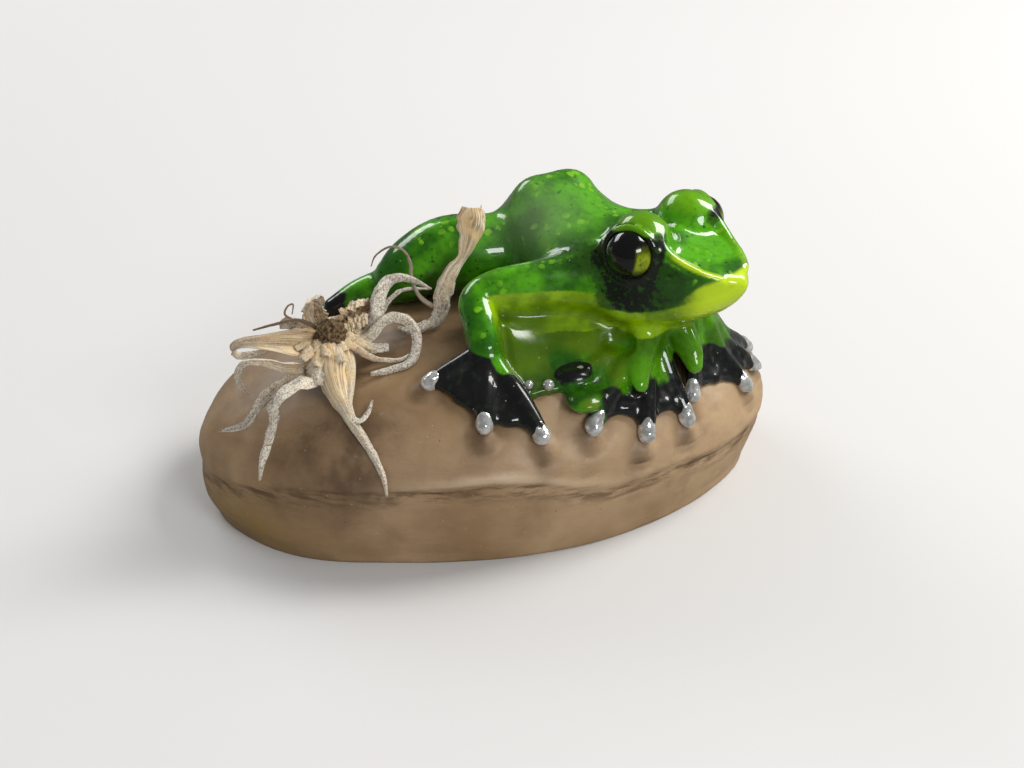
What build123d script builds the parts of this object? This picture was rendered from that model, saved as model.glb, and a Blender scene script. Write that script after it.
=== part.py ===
"""Glossy tree-frog figurine crouching on a pebble, with a dried air plant glued beside it.

Millimetres, +Z up. The origin is the middle of the pebble's flat underside, and +X runs along the
pebble's long axis, towards the end with the frog's head. The frog's trunk faces -Y and its head is
turned towards +X. "Right" and "left" are the frog's own. Nothing on the object moves.
"""

import math
import os

from build123d import *

# ---------------------------------------------------------------- driving dimensions
PEBBLE_LENGTH = 101.0
PEBBLE_WIDTH = 62.0
PEBBLE_HEIGHT = 31.0
END_CREASE = 11.5  # height of the widest line at the pebble's two ends
SIDE_CREASE = 17.0  # height of the widest line at its two long sides
FOOTPRINT = 0.93  # share of the full outline that touches the table

TOE_PAD_RADIUS = 1.75
TOE_PAD_BASE_ANGLE = 33.0  # degrees below a pad's equator at which its flat base cuts it
EYE_RADIUS = 4.3
EYE_MOUND_RADIUS = 5.2
HEAD_MIDDLE = Vector(28.5, -8.3, 46.7)  # half way between the eye mounds
HEAD_ANGLE = -57.0  # heading of the head in plan, from +X
EYE_SPREAD = 7.0  # from the head's midline to a mound's middle
EYE_SHIFT = (1.1, 2.6, -0.8)  # from a mound's middle to its eye: forward, outward, up

LEAF_THICKNESS = 0.7
CROWN = Vector(-28.0, -5.2, 30.0)  # middle of the dried plant's crown
HEART_RADIUS = 2.6


# ---------------------------------------------------------------- pebble form
def dome_share(t):
    """Share of the full outline at t of the way from the crease to the top."""
    return (1 - t**1.6) ** (1 / 2.2)


def pebble_axis(half, crease, z):
    """Half the pebble's length or width at height z, for the axis whose crease height is given."""
    if z <= crease:
        return half * (FOOTPRINT + (1 - FOOTPRINT) * math.sin(math.pi / 2 * z / crease))
    return half * dome_share((z - crease) / (PEBBLE_HEIGHT - crease))


def pebble_half_axes(z):
    return (
        pebble_axis(PEBBLE_LENGTH / 2, END_CREASE, z),
        pebble_axis(PEBBLE_WIDTH / 2, SIDE_CREASE, z),
    )


def pebble_top(x, y):
    """Height of the pebble's upper surface above the point (x, y), by bisection."""
    low, high = END_CREASE, PEBBLE_HEIGHT - 1e-6
    for _ in range(40):
        middle = (low + high) / 2
        a, b = pebble_half_axes(middle)
        inside = (x / a) ** 2 + (y / b) ** 2 < 1
        low, high = (middle, high) if inside else (low, middle)
    return low


# ---------------------------------------------------------------- lofted forms
def tangents(points):
    """Unit direction of travel at each point of a path."""
    ends = [points[0]] + points + [points[-1]]
    return [(ends[i + 2] - ends[i]).normalized() for i in range(len(points))]


def section_planes(points, side):
    """Planes across a path, whose x directions are carried along it from side without twisting."""
    planes = []
    for origin, forward in zip(points, tangents(points)):
        side = (side - forward * side.dot(forward)).normalized()
        planes.append(Plane(origin=origin, x_dir=side, z_dir=forward))
    return planes


def tube(path, side=Vector(0, 0, 1)):
    """Tapering limb: a loft through circles, from (x, y, z, radius) entries."""
    points = [Vector(*entry[:3]) for entry in path]
    with BuildPart(mode=Mode.PRIVATE) as made:
        for plane, entry in zip(section_planes(points, side), path):
            with BuildSketch(plane):
                Circle(entry[3])
        loft()
    return made.part


def ribbon(points, widths, side, sections=17, thickness=LEAF_THICKNESS):
    """Leaf blade: a loft through thin ellipses along a smooth path, with widths given along it."""
    curve = Spline(*points, mode=Mode.PRIVATE)
    shares = [i / (sections - 1) for i in range(sections)]
    stations = [curve @ share for share in shares]
    with BuildPart(mode=Mode.PRIVATE) as made:
        for plane, share in zip(section_planes(stations, side), shares):
            place = share * (len(widths) - 1)
            before = min(int(place), len(widths) - 2)
            width = widths[before] + (widths[before + 1] - widths[before]) * (place - before)
            thin = min(thickness, width * 0.7)
            with BuildSketch(plane):
                Ellipse(width / 2, thin / 2)
        loft()
    return made.part


# ---------------------------------------------------------------- frog: trunk and head
# (x, y, z of the middle, half width, half height), from the rump to the snout
TRUNK = [
    (17.5, 24.0, 35.5, 4.2, 3.8),
    (17.2, 21.0, 37.0, 8.8, 7.2),
    (16.1, 14.5, 39.0, 11.6, 10.8),
    (15.9, 9.0, 39.5, 12.2, 12.0),
    (17.8, 2.5, 39.2, 12.4, 10.4),
    (21.8, -2.5, 40.4, 12.9, 8.0),
    (26.6, -6.2, 41.4, 13.2, 6.6),
    (31.0, -12.2, 42.2, 11.4, 5.5),
    (34.1, -17.0, 42.9, 7.6, 4.1),
    (36.3, -20.4, 43.1, 3.0, 2.5),
]
RUMP = (17.5, 23.7, 35.5, 3.7)  # x, y, z and radius of the ball that rounds off the rump
SNOUT = (36.4, -20.5, 43.1, 2.45)


def heading(angle):
    return Vector(math.cos(math.radians(angle)), math.sin(math.radians(angle)), 0)


HEAD_FORWARD = heading(HEAD_ANGLE)
HEAD_RIGHT = heading(HEAD_ANGLE - 90)


def trunk():
    points = [Vector(*entry[:3]) for entry in TRUNK]
    with BuildPart(mode=Mode.PRIVATE) as made:
        for plane, entry in zip(section_planes(points, Vector(-1, 0, 0)), TRUNK):
            with BuildSketch(plane):
                Ellipse(entry[3], entry[4])
        loft()
    return made.part


def mound_centre(side):
    """Middle of an eye mound; side is +1 for the frog's right, -1 for its left."""
    return HEAD_MIDDLE + HEAD_RIGHT * side * EYE_SPREAD


def eye_centre(side):
    forward, outward, up = EYE_SHIFT
    return mound_centre(side) + HEAD_FORWARD * forward + HEAD_RIGHT * side * outward + Vector(0, 0, up)


def ball(centre, radius):
    return Pos(*centre) * Sphere(radius, mode=Mode.PRIVATE)


# ---------------------------------------------------------------- frog: limbs
# (x, y, z, radius) along each limb
LIMBS = {
    "right_arm": [
        (16.0, -5.0, 41.0, 4.6), (6.0, -6.5, 41.5, 3.2), (-2.0, -7.5, 40.0, 3.0),
        (-4.3, -9.5, 37.0, 3.2), (-3.8, -13.5, 33.0, 2.7), (-3.3, -16.8, 30.7, 2.3),
    ],
    "left_arm": [
        (25.0, -3.0, 38.5, 4.4), (31.5, -3.5, 36.5, 3.4), (33.0, -7.0, 34.5, 3.2),
        (29.5, -11.5, 31.5, 2.9), (24.6, -16.4, 28.2, 2.4),
    ],
    "right_thigh": [
        (15.0, 17.0, 39.0, 6.0), (5.0, 15.0, 39.5, 6.9), (-4.0, 11.5, 38.0, 6.6),
        (-10.5, 9.5, 35.5, 4.8), (-13.5, 9.0, 33.5, 2.6),
    ],
    "left_thigh": [
        (18.0, 17.0, 38.0, 6.0), (28.0, 13.5, 38.0, 6.9), (36.0, 8.0, 36.0, 6.2),
        (41.0, 3.5, 32.5, 4.4), (42.5, 1.5, 30.5, 2.6),
    ],
    "right_shank": [
        (-11.0, 9.5, 33.5, 3.6), (-6.5, 15.0, 31.5, 4.2), (-2.0, 20.0, 29.0, 2.8),
    ],
    "left_shank": [
        (41.0, 3.5, 29.5, 3.3), (35.0, 10.0, 29.0, 4.2), (29.0, 16.5, 27.5, 2.8),
    ],
    "right_ankle": [
        (-2.4, 19.7, 29.0, 2.3), (-7.0, 17.5, 30.3, 2.2), (-11.4, 14.3, 30.6, 2.3),
    ],
    "left_ankle": [
        (29.2, 16.0, 27.5, 2.4), (32.5, 5.0, 29.0, 2.4), (34.8, -6.2, 27.0, 2.3),
    ],
}
JOINTS = [  # knees and heels, which round off the ends of the thighs and shanks: x, y, z, radius
    (-12.4, 9.2, 33.6, 4.0), (42.0, 2.4, 30.2, 3.9), (-1.7, 20.2, 28.9, 3.2), (28.8, 16.8, 27.6, 3.2),
]
# palm centre and toe tips, in plan; heights come from the pebble below them
FEET = {
    "right_hand": ((-3.0, -17.5), [(-13.0, -16.5), (-6.5, -24.5), (2.8, -26.7), (2.5, -20.0)]),
    "left_hand": ((23.5, -17.5), [(10.0, -19.5), (11.5, -27.0), (20.5, -27.0), (28.7, -23.7)]),
    "left_foot": ((35.0, -7.0), [(31.3, -19.5), (41.5, -15.0), (46.5, -8.5), (47.0, 0.5), (43.0, 7.5)]),
    "right_foot": ((-12.0, 14.0), [(-27.0, 12.0), (-28.0, 17.0), (-22.5, 21.5), (-15.0, 24.0), (-7.0, 25.5)]),
}
TOE_PAD_GAP = 0.03
BASE_DOWN = (Align.CENTER, Align.CENTER, Align.MIN)
TOE_LIFT = 1.0  # height of a toe's end above the pebble
PALM_LIFT = 1.6
PALM_RADIUS = 2.9
KNUCKLE_LIFT = 1.8  # rise of a toe's middle above the line from palm to tip


def on_pebble(point, lift):
    return Vector(point[0], point[1], pebble_top(*point) + lift)


def seat_plane(point):
    """Plane that just clears the pebble above a point in plan, square to its surface."""
    x, y = point
    slope_x = (pebble_top(x + 0.5, y) - pebble_top(x - 0.5, y))
    slope_y = (pebble_top(x, y + 0.5) - pebble_top(x, y - 0.5))
    normal = Vector(-slope_x, -slope_y, 1).normalized()
    return Plane(origin=Vector(x, y, pebble_top(x, y)) + normal * TOE_PAD_GAP, z_dir=normal)


def toe(palm, tip):
    middle = (palm + tip) * 0.5 + Vector(0, 0, KNUCKLE_LIFT)
    return tube([(*palm, 1.9), (*middle, 1.35), (*tip, 1.2)], side=Vector(0.3, 0.2, 1))


def web(palm, tips):
    """Skin between the toes: a thin plate on the plane through the palm and the outer toes."""
    reach = [palm + (tip - palm) * 0.72 for tip in tips]
    across = (reach[-1] - reach[0]).normalized()
    normal = (reach[0] - palm).cross(reach[-1] - palm).normalized()
    plane = Plane(origin=palm, x_dir=across, z_dir=normal)
    corners = [plane.to_local_coords(point) for point in [palm, *reach]]
    with BuildPart(mode=Mode.PRIVATE) as made:
        with BuildSketch(plane):
            with BuildLine():
                Polyline(*[(corner.X, corner.Y) for corner in corners], close=True)
            make_face()
        extrude(amount=0.7, both=True)
    return made.part


def foot_places(name):
    palm, tips = FEET[name]
    return on_pebble(palm, PALM_LIFT), [on_pebble(tip, TOE_LIFT) for tip in tips]


def toe_pads(name):
    with BuildPart(mode=Mode.PRIVATE) as made:
        with Locations(*[seat_plane(tip) for tip in FEET[name][1]]):
            Sphere(TOE_PAD_RADIUS, arc_size1=-TOE_PAD_BASE_ANGLE, align=BASE_DOWN)
    return made.part


def foot_solid(name):
    """Palm, webbing and toes of one foot, with seats for its toe pads."""
    palm, tips = foot_places(name)
    with BuildPart(mode=Mode.PRIVATE) as made:
        add(ball(palm, PALM_RADIUS))
        add(web(palm, tips))
        for tip in tips:
            add(toe(palm, tip))
        add(toe_pads(name), mode=Mode.SUBTRACT)
    return made.part


# ---------------------------------------------------------------- the dried plant
# points along the blade, widths along it, and the blade's sideways direction at its base
LEAVES = {
    "leaf_left_loop_upper": (
        [(-30.5, -8.0, 32.5), (-34.5, -10.0, 34.5), (-39.0, -8.5, 35.0), (-42.5, -6.0, 33.5),
         (-41.0, -5.0, 30.8), (-36.5, -5.5, 30.5)], [3.6, 3.2, 1.6, 1.0, 1.6, 0.8], (0, 0, 1)),
    "leaf_left_loop_lower": (
        [(-32.0, -11.0, 30.5), (-36.0, -12.0, 31.0), (-40.0, -10.5, 31.5), (-43.5, -8.0, 28.5),
         (-42.5, -5.5, 23.5)], [2.6, 1.8, 1.2, 1.0, 1.0], (0, 0, 1)),
    "leaf_left_low": (
        [(-33.0, -11.0, 28.5), (-37.5, -12.0, 26.0), (-42.0, -10.5, 22.5), (-46.5, -6.0, 19.5)],
        [2.6, 2.6, 1.6, 0.6], (0, 1, 1)),
    "leaf_front_left": (
        [(-30.5, -14.0, 29.5), (-33.5, -15.5, 30.5), (-37.0, -14.5, 27.5), (-39.0, -15.5, 22.5),
         (-41.5, -19.0, 17.5)], [2.4, 3.4, 3.4, 1.6, 0.6], (1, 0, 0.3)),
    "leaf_front_long": (
        [(-28.0, -11.0, 31.0), (-28.0, -15.5, 28.5), (-26.0, -20.5, 25.3), (-23.5, -26.0, 22.5),
         (-22.5, -30.0, 18.5)], [4.6, 3.8, 2.2, 1.4, 0.6], (1, 0, 0)),
    "leaf_front_right": (
        [(-25.5, -10.5, 30.5), (-24.5, -14.5, 29.0), (-24.2, -17.6, 27.4), (-21.5, -19.0, 27.2)],
        [2.8, 2.2, 1.4, 0.7], (1, 0, 0)),
    "leaf_right_low": (
        [(-23.0, -7.5, 30.0), (-20.5, -10.0, 30.0), (-16.5, -11.0, 30.0)], [1.6, 1.4, 0.8], (0, 0, 1)),
    "leaf_right_loop": (
        [(-22.5, -6.0, 31.0), (-19.0, -5.5, 33.5), (-15.0, -7.0, 35.3), (-13.2, -9.0, 32.0),
         (-16.0, -12.5, 30.0), (-21.0, -12.5, 29.6)], [1.8, 2.0, 1.8, 1.6, 2.0, 1.2], (0, 1, 0)),
    "leaf_right_stub": (
        [(-22.5, -4.3, 30.3), (-20.0, -4.5, 30.6), (-17.5, -4.8, 30.8)], [1.8, 1.8, 1.4], (0, 1, 0)),
    "leaf_right_arch": (
        [(-22.0, -2.5, 31.5), (-19.0, 0.0, 34.5), (-17.5, 0.5, 38.0), (-14.5, -0.5, 40.3),
         (-10.5, -1.5, 39.5)], [2.0, 2.6, 2.0, 1.4, 0.6], (0, 1, 0.3)),
    "leaf_right_inner": (
        [(-21.5, -0.5, 31.0), (-17.5, 1.5, 32.0), (-14.5, 1.5, 35.5), (-12.0, 0.5, 37.5)],
        [1.6, 1.4, 1.0, 0.5], (0, 1, 0)),
    "leaf_back_right": (
        [(-25.5, -2.5, 32.0), (-23.0, -1.5, 34.0), (-20.5, -2.5, 36.3)], [3.6, 4.4, 2.4], (0.6, 0.8, 0)),
    "leaf_hood": (
        [(-29.0, -2.2, 32.5), (-29.6, -2.2, 36.0), (-28.2, -3.6, 38.4)], [3.4, 3.8, 2.4], (1, 0, 0)),
    "leaf_back_left": (
        [(-31.0, -2.6, 31.5), (-33.0, 0.0, 32.5), (-35.0, 1.0, 31.5)], [2.6, 2.4, 1.2], (0, 0, 1)),
    "dry_stalk": (
        [(-31.0, -4.2, 33.5), (-34.5, -3.0, 34.5), (-39.5, -2.0, 33.5)], [0.9, 0.7, 0.5], (0, 0, 1)),
    "curled_tendril": (
        [(-12.0, 4.0, 34.0), (-12.5, 1.5, 38.0), (-13.5, 0.0, 43.5), (-17.0, 1.0, 44.5), (-19.5, 2.5, 41.0)],
        [1.0, 0.8, 0.6, 0.5, 0.4], (0, 1, 0)),
    "loose_leaf": (
        [(-2.5, -1.5, 51.0), (-3.2, -1.8, 45.5), (-5.6, -2.8, 41.5), (-8.0, -3.2, 37.5), (-8.8, -3.6, 33.0),
         (-12.5, -4.5, 31.8)], [3.6, 3.0, 1.6, 2.8, 1.8, 1.0], (1, 0.4, 0)),
}


def crown_solid():
    """The crown is a short swelling body, wider above than below, with the leaves round it."""
    with BuildPart(mode=Mode.PRIVATE) as made:
        with BuildSketch(Plane.XZ):
            with BuildLine():
                Spline((2.4, -3.0), (4.6, -0.8), (4.4, 1.4), (2.6, 3.0))
                Polyline((2.6, 3.0), (0, 3.0), (0, -3.0), (2.4, -3.0))
            make_face()
        revolve(axis=Axis.Z)
    return Pos(*CROWN) * made.part


os.makedirs("parts", exist_ok=True)


def write(solid, name):
    solid.label = name
    export_step(solid, f"parts/{name}.step")


# ---------------------------------------------------------------- pebble
LEVELS = [0, 4, 8, 11.5, 14.5, 17, 20, 23, 25.5, 27.5, 29, 30.2, 30.8]
with BuildPart() as pebble_base:
    for level in LEVELS:
        with BuildSketch(Plane.XY.offset(level)):
            Ellipse(*pebble_half_axes(level))
    loft()
pebble = pebble_base.part
write(pebble, "pebble_base")

# ---------------------------------------------------------------- frog casting, seated on the pebble
body_and_head = trunk()
with BuildPart() as frog_body:
    add(body_and_head)
    for x, y, z, radius in (RUMP, SNOUT):
        add(ball((x, y, z), radius))
    for side in (1, -1):
        add(ball(mound_centre(side), EYE_MOUND_RADIUS))
    for path in LIMBS.values():
        add(tube(path))
    for x, y, z, radius in JOINTS:
        add(ball((x, y, z), radius))
    for foot in FEET:
        add(foot_solid(foot))
    add(pebble, mode=Mode.SUBTRACT)
largest = max(frog_body.part.solids(), key=lambda solid: solid.volume)  # crumbs under the pads go
write(largest, "frog_body")

# ---------------------------------------------------------------- eyes and toe pads
for side, name in ((1, "right_eye"), (-1, "left_eye")):
    cap = ball(eye_centre(side), EYE_RADIUS) - ball(mound_centre(side), EYE_MOUND_RADIUS)
    write(cap - body_and_head, name)
for foot in FEET:
    write(toe_pads(foot), foot + "_toe_pads")

# ---------------------------------------------------------------- dried plant
crown = crown_solid() - pebble
heart = ball(CROWN + Vector(0, -0.3, 3.4), HEART_RADIUS) - crown
write(crown, "plant_crown")
write(heart, "plant_heart")
for name, (points, widths, side) in LEAVES.items():
    blade = ribbon([Vector(*point) for point in points], widths, Vector(*side))
    write(blade - crown - heart - pebble, name)
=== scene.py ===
"""Looks for the frog figurine: sculpted frog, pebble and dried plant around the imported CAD.

Shapes are worked out in millimetres in the row frame and written to meshes in metres.
"""

import math

import bpy
import numpy as np
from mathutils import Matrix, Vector


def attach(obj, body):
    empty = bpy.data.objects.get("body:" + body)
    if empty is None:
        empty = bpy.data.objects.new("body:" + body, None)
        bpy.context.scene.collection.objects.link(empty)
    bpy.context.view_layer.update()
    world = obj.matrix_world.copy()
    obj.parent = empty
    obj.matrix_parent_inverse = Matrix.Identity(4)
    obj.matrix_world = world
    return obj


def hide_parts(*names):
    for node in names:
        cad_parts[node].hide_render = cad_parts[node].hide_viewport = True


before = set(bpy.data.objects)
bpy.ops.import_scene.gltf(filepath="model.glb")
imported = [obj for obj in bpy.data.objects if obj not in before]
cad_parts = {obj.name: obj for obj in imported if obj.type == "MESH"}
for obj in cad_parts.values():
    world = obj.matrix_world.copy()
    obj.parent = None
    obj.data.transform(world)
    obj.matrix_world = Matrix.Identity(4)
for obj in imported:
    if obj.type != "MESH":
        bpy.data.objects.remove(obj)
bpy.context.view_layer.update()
MM = 0.001
GOLDEN_ANGLE = 2.399963  # radians; turns by this spread things evenly round a middle
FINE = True
rng = np.random.default_rng(7)


# ------------------------------------------------------------------ small helpers
def unit(v):
    v = np.asarray(v, float)
    return v / (np.linalg.norm(v, axis=-1, keepdims=True) + 1e-12)


def length(v):
    return np.linalg.norm(v, axis=-1)


def smoothstep(a, b, x):
    t = np.clip((x - a) / (b - a), 0, 1)
    return t * t * (3 - 2 * t)


def bell(x, middle, width):
    """1 at the middle, falling away smoothly on both sides."""
    return np.exp(-(((x - middle) / width) ** 2))


def gap_to(points, line):
    """Distance from each point to the nearest point of a line."""
    return np.min([length(points - p) for p in line], axis=0)


def smooth_min(a, b, k):
    h = np.clip(0.5 + 0.5 * (a - b) / k, 0, 1)
    return a + (b - a) * h - k * h * (1 - h)


def smooth_max(a, b, k):
    h = np.clip(0.5 + 0.5 * (b - a) / k, 0, 1)
    return a + (b - a) * h + k * h * (1 - h)


def spline(points, count):
    """Evenly parametrised Catmull-Rom curve through points of any width."""
    p = np.asarray(points, float)
    p = np.vstack([2 * p[0] - p[1], p, 2 * p[-1] - p[-2]])
    t = np.linspace(0, len(points) - 1 - 1e-9, count)
    i = t.astype(int)
    f = (t - i)[:, None]
    a, b, c, d = p[i], p[i + 1], p[i + 2], p[i + 3]
    return 0.5 * (2 * b + (c - a) * f + (2 * a - 5 * b + 4 * c - d) * f**2 + (3 * b - a - 3 * c + d) * f**3)


class Noise:
    """Smooth value noise in three dimensions, from a seeded lattice."""

    def __init__(self, seed):
        self.table = np.random.default_rng(seed).random((32, 32, 32)).astype(np.float32) * 2 - 1

    def __call__(self, p, scale):
        q = np.asarray(p, np.float64) / scale + 64
        i = np.floor(q).astype(int)
        f = q - i
        f = f * f * (3 - 2 * f)
        out = 0
        for dx in (0, 1):
            for dy in (0, 1):
                for dz in (0, 1):
                    w = (f[..., 0] if dx else 1 - f[..., 0]) * (f[..., 1] if dy else 1 - f[..., 1])
                    w = w * (f[..., 2] if dz else 1 - f[..., 2])
                    at = [(i[..., k] + d) % 32 for k, d in enumerate((dx, dy, dz))]
                    out = out + w * self.table[at[0], at[1], at[2]]
        return out


noise_a, noise_b, noise_c = Noise(1), Noise(2), Noise(3)


def build_mesh(name, verts_mm, faces, attributes=None):
    mesh = bpy.data.meshes.new(name)
    mesh.from_pydata((np.asarray(verts_mm) * MM).tolist(), [], [list(map(int, f)) for f in faces])
    mesh.validate()
    mesh.polygons.foreach_set("use_smooth", [True] * len(mesh.polygons))
    for key, values in (attributes or {}).items():
        layer = mesh.attributes.new(key, "FLOAT", "POINT")
        layer.data.foreach_set("value", np.asarray(values, np.float32))
    obj = bpy.data.objects.new(name, mesh)
    bpy.context.collection.objects.link(obj)
    return obj


def stand_in(obj, node):
    """Shows a piece in place of a CAD node, which it hides."""
    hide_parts(node)
    return obj


def grid_faces(rows, around, start=0, flip=False):
    """Quads between the rings of a tube whose vertices run round each ring in turn."""
    faces = []
    for i in range(rows - 1):
        for j in range(around):
            a, b = (start + i * around + n for n in (j, (j + 1) % around))
            faces.append([a, a + around, b + around, b] if flip else [a, b, b + around, a + around])
    return faces


# ------------------------------------------------------------------ the pebble's form
LENGTH, WIDTH, HEIGHT = 101.0, 62.0, 31.0
END_CREASE, SIDE_CREASE, FOOTPRINT = 11.5, 17.0, 0.93
LONG_END = 30.0  # beyond this x the casting is drawn out a little further than the plain form
STRETCH = 21.5 / 20.5


def half_axis(half, crease, z):
    z = np.asarray(z, float)
    low = half * (FOOTPRINT + (1 - FOOTPRINT) * np.sin(np.pi / 2 * np.clip(z / crease, 0, 1)))
    t = np.clip((z - crease) / (HEIGHT - crease), 0, 1)
    return np.where(z < crease, low, half * (1 - t**1.6) ** (1 / 2.2))


def drawn_out(x):
    return np.where(x > LONG_END, LONG_END + (x - LONG_END) * STRETCH, x)


def pebble_top(x, y):
    x = np.where(x > LONG_END, LONG_END + (x - LONG_END) / STRETCH, x)
    low, high = np.full(np.shape(x), 0.0), np.full(np.shape(x), HEIGHT)
    for _ in range(24):
        mid = (low + high) / 2
        a = np.maximum(half_axis(LENGTH / 2, END_CREASE, mid), 1e-3)
        b = np.maximum(half_axis(WIDTH / 2, SIDE_CREASE, mid), 1e-3)
        inside = (x / a) ** 2 + (y / b) ** 2 < 1
        low, high = np.where(inside, mid, low), np.where(inside, high, mid)
    return low


def ground_at(x, y):
    return float(pebble_top(x, y))


def on_pebble(x, y, lift=0.0):
    return np.array([x, y, ground_at(x, y) + lift])


# ------------------------------------------------------------------ distance-field sculpting
class Field:
    """A block of signed distances in millimetres, added to form by form and then meshed."""

    def __init__(self, low, high, step):
        self.low, self.step = np.asarray(low, float), step
        self.n = np.ceil((np.asarray(high) - self.low) / step).astype(int) + 1
        self.d = np.full(self.n, 20.0, np.float32)
        self.axes = [self.low[k] + step * np.arange(self.n[k]) for k in range(3)]

    def window(self, low, high, pad):
        a = np.clip(np.floor((np.asarray(low) - pad - self.low) / self.step).astype(int), 0, self.n)
        b = np.clip(np.ceil((np.asarray(high) + pad - self.low) / self.step).astype(int) + 1, 0, self.n)
        part = tuple(slice(i, j) for i, j in zip(a, b))
        grid = np.meshgrid(*[self.axes[k][part[k]] for k in range(3)], indexing="ij")
        return part, np.stack(grid, -1)

    def join(self, form, low, high, k=1.0, cut=False):
        """Adds a form, or cuts it away, blended over a width k."""
        part, p = self.window(low, high, (1.0 if cut else 2.5) + k)
        a, b = self.d[part], form(p).astype(np.float32)
        self.d[part] = smooth_max(a, -b, k) if cut else smooth_min(a, b, k)

    def ball(self, c, r, k=1.0, cut=False):
        c = np.asarray(c, float)
        self.join(lambda p: length(p - c) - r, c - r, c + r, k, cut)

    def egg(self, c, radii, k=1.0, turn=0.0, tilt=0.0, cut=False):
        """Ellipsoid, turned about Z and then tilted nose-up about its own sideways axis, in degrees."""
        c, radii = np.asarray(c, float), np.asarray(radii, float)
        a, e = math.radians(turn), math.radians(tilt)
        f = np.array([math.cos(a) * math.cos(e), math.sin(a) * math.cos(e), math.sin(e)])
        s = np.array([-math.sin(a), math.cos(a), 0])
        axes = np.stack([f, s, np.cross(f, s)])

        def form(p):
            q = (p - c) @ axes.T
            k0, k1 = length(q / radii), length(q / radii**2)
            return k0 * (k0 - 1) / np.maximum(k1, 1e-6)

        m = radii.max()
        self.join(form, c - m, c + m, k, cut)

    def limb(self, points, k=1.0, count=None):
        """Chain of tapering capsules along a smooth curve through (x, y, z, radius) points."""
        pts = spline(points, count or 5 * len(points))

        def form(p):
            best = np.full(p.shape[:-1], 50.0)
            for a, b in zip(pts[:-1], pts[1:]):
                ab = b[:3] - a[:3]
                t = np.clip((p - a[:3]) @ ab / max(ab @ ab, 1e-9), 0, 1)
                d = length(p - a[:3] - t[..., None] * ab) - (a[3] + (b[3] - a[3]) * t)
                best = np.minimum(best, d)
            return best

        r = pts[:, 3].max()
        self.join(form, pts[:, :3].min(0) - r, pts[:, :3].max(0) + r, k)

    def ring(self, c, axis, major, minor, k=0.5, arc=None):
        """Torus about an axis; arc=(direction, cosine) keeps only the side facing that direction."""
        c, axis = np.asarray(c, float), unit(axis)

        def form(p):
            q = p - c
            h = q @ axis
            flat = q - h[..., None] * axis
            d = np.hypot(length(flat) - major, h) - minor
            if arc:
                side = (unit(flat) @ unit(arc[0])) - arc[1]
                d = d + np.clip(-side, 0, 1) * 3
            return d

        self.join(form, c - major - minor, c + major + minor, k)

    def plate(self, a, b, c, thick, k=0.6):
        """Triangular sheet of skin."""
        a, b, c = (np.asarray(v, float) for v in (a, b, c))
        ba, cb, ac = b - a, c - b, a - c
        n = np.cross(ba, ac)

        def form(p):
            pa, pb, pc = p - a, p - b, p - c
            inside = sum(np.sign((np.cross(e, n) * q).sum(-1)) for e, q in ((ba, pa), (cb, pb), (ac, pc))) < 2

            def edge(e, q):
                t = np.clip((q @ e) / (e @ e), 0, 1)
                return ((t[..., None] * e - q) ** 2).sum(-1)

            near = np.minimum(np.minimum(edge(ba, pa), edge(cb, pb)), edge(ac, pc))
            face = (pa @ n) ** 2 / (n @ n)
            return np.sqrt(np.where(inside, near, face)) - thick

        pts = np.stack([a, b, c])
        self.join(form, pts.min(0) - thick, pts.max(0) + thick, k)

    def mesh(self):
        """Surface nets: one vertex per crossed cell, one quad per crossed edge."""
        d = self.d
        inside = d < 0
        total = np.zeros(tuple(self.n - 1) + (3,), np.float32)
        count = np.zeros(tuple(self.n - 1), np.float32)
        crossings = []
        for axis in range(3):
            lo, hi = [slice(None)] * 3, [slice(None)] * 3
            lo[axis], hi[axis] = slice(0, -1), slice(1, None)
            a, b = d[tuple(lo)], d[tuple(hi)]
            cross = inside[tuple(lo)] != inside[tuple(hi)]
            idx = np.argwhere(cross)
            t = a[cross] / (a[cross] - b[cross])
            point = idx.astype(np.float32)
            point[:, axis] += t
            crossings.append((axis, idx, inside[tuple(lo)][cross]))
            others = [k for k in range(3) if k != axis]
            for i in (0, 1):
                for j in (0, 1):
                    cell = idx.copy()
                    cell[:, others[0]] -= i
                    cell[:, others[1]] -= j
                    ok = ((cell >= 0) & (cell < self.n - 1)).all(1)
                    at = tuple(cell[ok].T)
                    np.add.at(total, at, point[ok])
                    np.add.at(count, at, 1)
        used = count > 0
        number = np.full(used.shape, -1)
        number[used] = np.arange(used.sum())
        verts = total[used] / count[used][:, None] * self.step + self.low
        quads = []
        for axis, idx, starts_inside in crossings:
            u, v = [k for k in range(3) if k != axis]
            ok = (idx[:, u] > 0) & (idx[:, v] > 0) & (idx[:, u] < self.n[u] - 1) & (idx[:, v] < self.n[v] - 1)
            idx, starts_inside = idx[ok], starts_inside[ok]
            corner = []
            for i, j in ((1, 1), (0, 1), (0, 0), (1, 0)):
                cell = idx.copy()
                cell[:, u] -= i
                cell[:, v] -= j
                corner.append(number[tuple(cell.T)])
            q = np.stack(corner, 1)
            flip = starts_inside if axis != 1 else ~starts_inside
            q[~flip] = q[~flip][:, ::-1]
            quads.append(q)
        return verts, np.vstack(quads)


def relax(verts, quads, rounds):
    """Light smoothing that takes the grid's steps out of a surface-nets mesh."""
    edges = np.vstack([quads[:, [i, (i + 1) % 4]] for i in range(4)])
    for _ in range(rounds):
        total, count = np.zeros_like(verts), np.zeros(len(verts))
        for a, b in ((0, 1), (1, 0)):
            np.add.at(total, edges[:, a], verts[edges[:, b]])
            np.add.at(count, edges[:, a], 1)
        verts = verts + 0.5 * (total / count[:, None] - verts)
    return verts


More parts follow.
